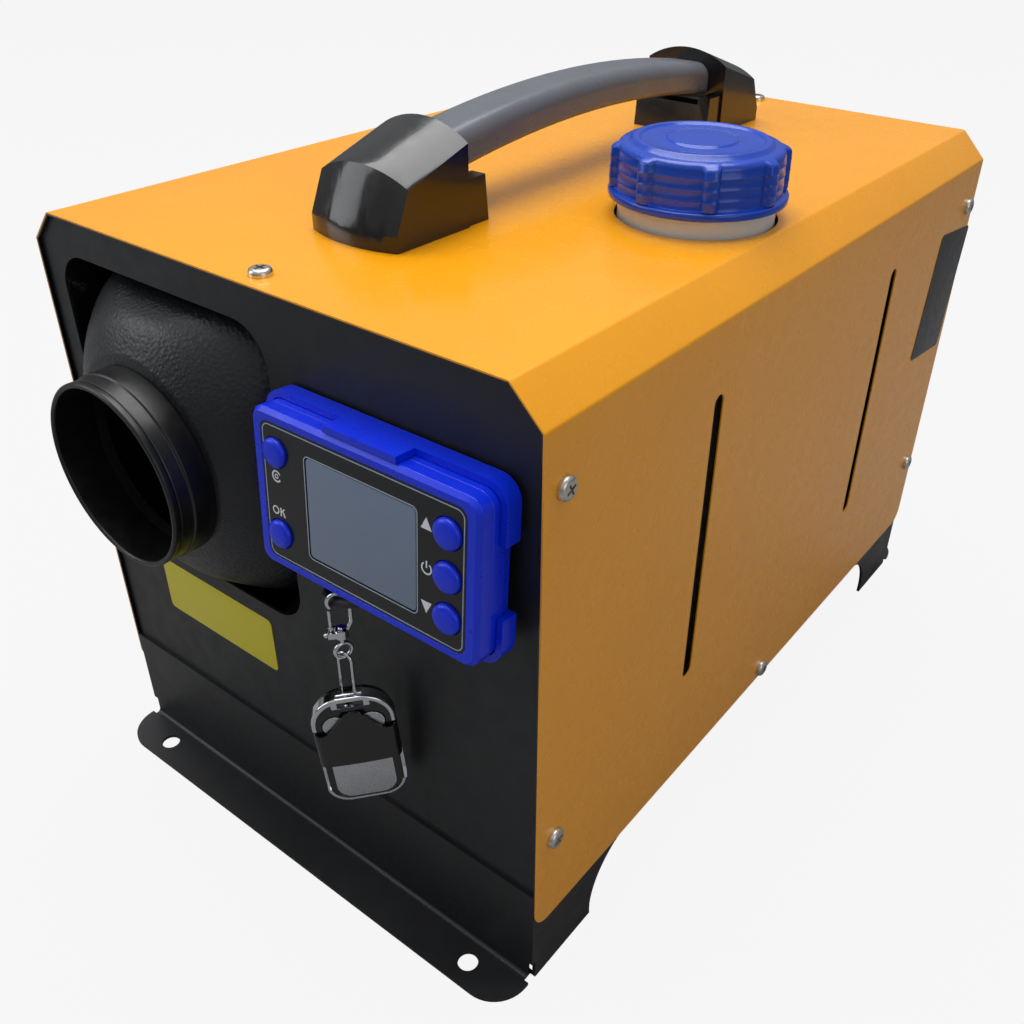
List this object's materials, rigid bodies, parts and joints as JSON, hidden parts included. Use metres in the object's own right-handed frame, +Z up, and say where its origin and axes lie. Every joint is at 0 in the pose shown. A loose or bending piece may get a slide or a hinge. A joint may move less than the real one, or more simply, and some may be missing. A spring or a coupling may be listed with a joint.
{
  "type": "portable diesel air heater",
  "caption": "Box-shaped diesel air heater with carrying handle, filler cap, hot-air spigot, wall controller and a key fob on its cable; feet with bolt-down flanges.",
  "frame": {"origin": "centre of the four floor bolt holes, on the floor the case stands on", "axes": "+Z up, -Y towards the front with the hot-air spigot and the controller, +X to the controller's side"},
  "size_m": [0.2552, 0.4164, 0.3035],
  "materials": {
    "amber_paint": "gloss amber powder coat",
    "black_paint": "fine satin black powder coat",
    "zinc": "zinc plated",
    "grip_grey": "satin grey",
    "gloss_black": "gloss black",
    "hood_black": "pebble grained black",
    "cast_alloy": "cast",
    "bright_steel": "drawn tube",
    "motor_steel": "satin grey",
    "wheel_plastic": "moulded",
    "circuit_green": "solder mask",
    "tank_plastic": "translucent white",
    "cap_blue": "gloss blue",
    "black_rubber": "matt",
    "filter_plastic": "clear amber",
    "controller_blue": "satin blue",
    "screen": "dark display",
    "button_metal": "bright",
    "chrome": "polished",
    "fob_black": "satin black"
  },
  "bodies": {
    "case": {"cover": "amber_paint", "cover_screws": "zinc", "base_tray": "black_paint", "front_panel": "black_paint", "rear_panel": "black_paint", "handle_grip": "grip_grey", "handle_feet": "gloss_black", "heater_lower_shell": "hood_black", "heater_upper_shell": "hood_black", "outlet_hood": "hood_black", "outlet_collar": "hood_black", "heat_exchanger": "cast_alloy", "burner_tube": "bright_steel", "glow_plug": "bright_steel", "blower_housing": "cast_alloy", "fan_motor": "motor_steel", "control_board": "circuit_green", "inlet_grille": "hood_black", "heater_bracket": "black_paint", "exhaust_pipe": "bright_steel", "intake_pipe": "bright_steel", "fuel_tank_lower": "tank_plastic", "fuel_tank_upper": "tank_plastic", "filler_neck": "tank_plastic", "fuel_pump": "bright_steel", "pump_mount": "black_rubber", "fuel_filter": "filter_plastic", "fuel_hoses": "black_rubber", "controller_holder": "controller_blue", "controller_back": "controller_blue", "controller_bezel": "controller_blue", "controller_faceplate": "gloss_black", "controller_screen": "screen", "controller_board": "circuit_green", "controller_cable": "black_rubber", "cable_grommet": "black_rubber", "power_grommet": "black_rubber"},
    "fan": {"motor_shaft": "bright_steel", "combustion_wheel": "wheel_plastic", "air_impeller": "wheel_plastic"},
    "plunger": {"pump_plunger": "bright_steel"},
    "cap_seal": {"cap_liner": "black_rubber"},
    "cap": {"fuel_cap": "cap_blue"},
    "tune_key": {"button_tune": "controller_blue"},
    "confirm_key": {"button_confirm": "controller_blue"},
    "up_key": {"button_up": "controller_blue"},
    "power_key": {"button_power": "controller_blue"},
    "down_key": {"button_down": "controller_blue"},
    "clasp": {"clasp_hook": "chrome"},
    "gate": {"clasp_gate": "chrome"},
    "swivel": {"clasp_swivel": "chrome"},
    "link": {"link_ring": "chrome"},
    "fob": {"fob_frame": "chrome", "fob_shell": "fob_black", "fob_board": "circuit_green"},
    "slider": {"fob_slider": "fob_black"},
    "fob_key_1": {"fob_button_1": "button_metal"},
    "fob_key_2": {"fob_button_2": "button_metal"},
    "fob_key_3": {"fob_button_3": "button_metal"},
    "fob_key_4": {"fob_button_4": "button_metal"}
  },
  "joints": [
    {"name": "fan_spin", "type": "hinge", "parent": "case", "child": "fan", "pos_m": [-0.0544, 0.09, 0.1838], "axis": [0, 1, 0], "continuous": true},
    {"name": "pump_stroke", "type": "slide", "parent": "case", "child": "plunger", "axis": [0, 1, 0], "range_m": [0, 0.003], "stiffness_N_per_m": 400, "springref_m": -0.001},
    {"name": "cap_lift", "type": "slide", "parent": "case", "child": "cap_seal", "axis": [0, 0, 1], "range_m": [0, 0.0076]},
    {"name": "cap_turn", "type": "hinge", "parent": "cap_seal", "child": "cap", "pos_m": [0.0771, -0.0239, 0.286], "axis": [0, 0, 1], "range_deg": [0, 540]},
    {"name": "tune_press", "type": "slide", "parent": "case", "child": "tune_key", "axis": [0, 0.9972, -0.075], "range_m": [0, 0.0008], "stiffness_N_per_m": 600, "springref_m": -0.0008},
    {"name": "confirm_press", "type": "slide", "parent": "case", "child": "confirm_key", "axis": [0, 0.9972, -0.075], "range_m": [0, 0.0008], "stiffness_N_per_m": 600, "springref_m": -0.0008},
    {"name": "up_press", "type": "slide", "parent": "case", "child": "up_key", "axis": [0, 0.9972, -0.075], "range_m": [0, 0.0008], "stiffness_N_per_m": 600, "springref_m": -0.0008},
    {"name": "power_press", "type": "slide", "parent": "case", "child": "power_key", "axis": [0, 0.9972, -0.075], "range_m": [0, 0.0008], "stiffness_N_per_m": 600, "springref_m": -0.0008},
    {"name": "down_press", "type": "slide", "parent": "case", "child": "down_key", "axis": [0, 0.9972, -0.075], "range_m": [0, 0.0008], "stiffness_N_per_m": 600, "springref_m": -0.0008},
    {"name": "clasp_swing", "type": "hinge", "parent": "case", "child": "clasp", "pos_m": [0.0504, -0.199, 0.168], "axis": [-0.9548, 0, -0.2974], "range_deg": [0, 35]},
    {"name": "gate_open", "type": "hinge", "parent": "clasp", "child": "gate", "pos_m": [0.048, -0.20155, 0.1552], "axis": [-0.7278, 0.6858, 0], "range_deg": [0, 25], "stiffness_Nm_per_rad": 0.004, "springref_deg": -17.19},
    {"name": "swivel_turn", "type": "hinge", "parent": "clasp", "child": "swivel", "pos_m": [0.0504, -0.199, 0.155], "axis": [0, 0, 1], "range_deg": [-180, 0]},
    {"name": "link_swing", "type": "hinge", "parent": "swivel", "child": "link", "pos_m": [0.0504, -0.199, 0.1436], "axis": [-0.342, -0.9397, 0], "range_deg": [0, 15]},
    {"name": "fob_swing", "type": "hinge", "parent": "link", "child": "fob", "pos_m": [0.0504, -0.199, 0.12521], "axis": [-0.6837, -0.7255, -0.0785], "range_deg": [0, 9]},
    {"name": "slider_open", "type": "slide", "parent": "fob", "child": "slider", "axis": [0.0538, 0.0571, -0.9969], "range_m": [0, 0.012]},
    {"name": "fob_press_1", "type": "slide", "parent": "fob", "child": "fob_key_1", "axis": [-0.7278, 0.6858, 0], "range_m": [0, 0.0005], "stiffness_N_per_m": 500, "springref_m": -0.0006},
    {"name": "fob_press_2", "type": "slide", "parent": "fob", "child": "fob_key_2", "axis": [-0.7278, 0.6858, 0], "range_m": [0, 0.0005], "stiffness_N_per_m": 500, "springref_m": -0.0006},
    {"name": "fob_press_3", "type": "slide", "parent": "fob", "child": "fob_key_3", "axis": [-0.7278, 0.6858, 0], "range_m": [0, 0.0005], "stiffness_N_per_m": 500, "springref_m": -0.0006},
    {"name": "fob_press_4", "type": "slide", "parent": "fob", "child": "fob_key_4", "axis": [-0.7278, 0.6858, 0], "range_m": [0, 0.0005], "stiffness_N_per_m": 500, "springref_m": -0.0006}
  ],
  "couplings": [
    {"joint": "cap_lift", "follows": "cap_turn", "m_per_rad": 0.00079577}
  ]
}
